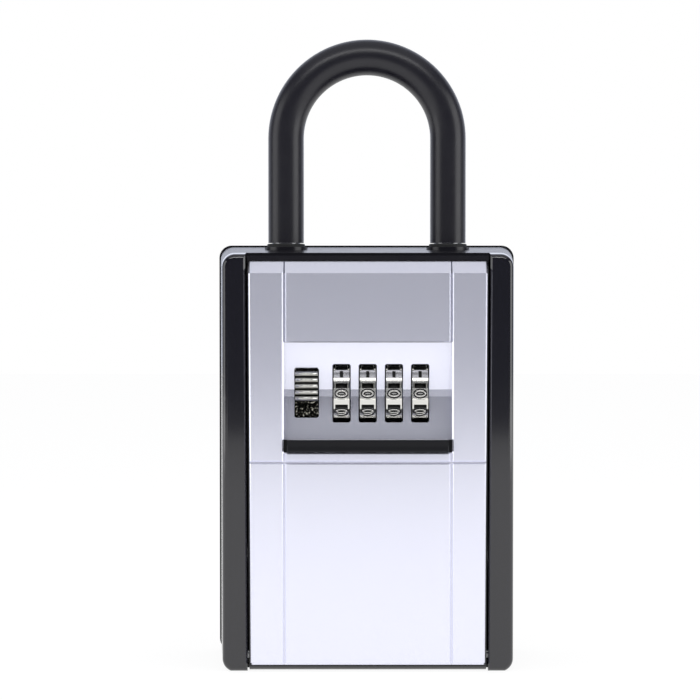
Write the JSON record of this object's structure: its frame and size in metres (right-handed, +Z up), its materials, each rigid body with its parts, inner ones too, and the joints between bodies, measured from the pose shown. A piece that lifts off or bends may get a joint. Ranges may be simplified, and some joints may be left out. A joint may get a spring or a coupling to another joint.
{
  "type": "key lock box",
  "caption": "Combination key lock box with a lifting shackle, drop-down door, sliding dial cover, number wheels and a latch lever.",
  "frame": {"origin": "middle of the whole, on the plane the box stands on", "axes": "+X right seen from the front, +Y to the back, +Z up towards the shackle"},
  "size_m": [0.1064, 0.054, 0.2192],
  "materials": {
    "black_casting": "satin black powder coat",
    "gloss_black": "polished black plastic",
    "silver_paint": "silver metallic paint",
    "black_steel": "black sheet steel",
    "hardened_steel": "hardened steel",
    "zinc_plate": "bright zinc plate",
    "black_vinyl": "satin vinyl",
    "black_rubber": "moulded rubber",
    "nickel": "polished nickel",
    "brass": "turned brass",
    "grey_casting": "bare zinc casting",
    "spring_steel": "blued spring steel"
  },
  "bodies": {
    "housing": {"housing": "black_casting", "cheek_left": "gloss_black", "cheek_right": "gloss_black", "hinge_pins": "zinc_plate", "keeper": "zinc_plate", "grommet_left": "black_rubber", "grommet_right": "black_rubber", "lock_cover": "zinc_plate", "lock_screws": "zinc_plate", "keeper_screws": "zinc_plate"},
    "door": {"door_frame": "black_casting", "face_plate": "silver_paint", "dial_bezel": "silver_paint", "lock_case": "grey_casting", "lock_case_cover": "zinc_plate", "case_screws": "zinc_plate", "wheel_shaft": "hardened_steel", "shaft_clips": "spring_steel", "detent_comb": "spring_steel"},
    "shutter": {"shutter_sheet": "black_steel", "shutter_lip": "black_vinyl"},
    "lever": {"opening_lever": "nickel", "latch_plate": "zinc_plate"},
    "code_setter": {"code_setter": "brass"},
    "shackle": {"shackle_core": "hardened_steel", "shackle_sleeve": "black_vinyl", "stop_pin": "hardened_steel"},
    "lock_bar": {"lock_bar": "zinc_plate"},
    "wheel_1": {"number_wheel_1": "nickel", "code_disc_1": "brass"},
    "wheel_2": {"number_wheel_2": "nickel", "code_disc_2": "brass"},
    "wheel_3": {"number_wheel_3": "nickel", "code_disc_3": "brass"},
    "wheel_4": {"number_wheel_4": "nickel", "code_disc_4": "brass"}
  },
  "joints": [
    {"name": "door_hinge", "type": "hinge", "parent": "housing", "child": "door", "pos_m": [0, -0.0196, 0.0056], "axis": [1, 0, 0], "range_deg": [0, 88]},
    {"name": "shutter_slide", "type": "slide", "parent": "door", "child": "shutter", "axis": [0, 0, 1], "range_m": [0, 0.0329]},
    {"name": "lever_slide", "type": "slide", "parent": "door", "child": "lever", "axis": [0, 0, -1], "range_m": [0, 0.0054]},
    {"name": "code_set_slide", "type": "slide", "parent": "door", "child": "code_setter", "axis": [1, 0, 0], "range_m": [0, 0.003]},
    {"name": "shackle_lift", "type": "slide", "parent": "housing", "child": "shackle", "axis": [0, 0, 1], "range_m": [0, 0.022]},
    {"name": "lock_bar_slide", "type": "slide", "parent": "housing", "child": "lock_bar", "axis": [1, 0, 0], "range_m": [-0.005, 0]},
    {"name": "wheel_1_turn", "type": "hinge", "parent": "door", "child": "wheel_1", "pos_m": [-0.009, -0.0104, 0.0952], "axis": [1, 0, 0], "continuous": true},
    {"name": "wheel_2_turn", "type": "hinge", "parent": "door", "child": "wheel_2", "pos_m": [0, -0.0104, 0.0952], "axis": [1, 0, 0], "continuous": true},
    {"name": "wheel_3_turn", "type": "hinge", "parent": "door", "child": "wheel_3", "pos_m": [0.009, -0.0104, 0.0952], "axis": [1, 0, 0], "continuous": true},
    {"name": "wheel_4_turn", "type": "hinge", "parent": "door", "child": "wheel_4", "pos_m": [0.018, -0.0104, 0.0952], "axis": [1, 0, 0], "continuous": true}
  ]
}
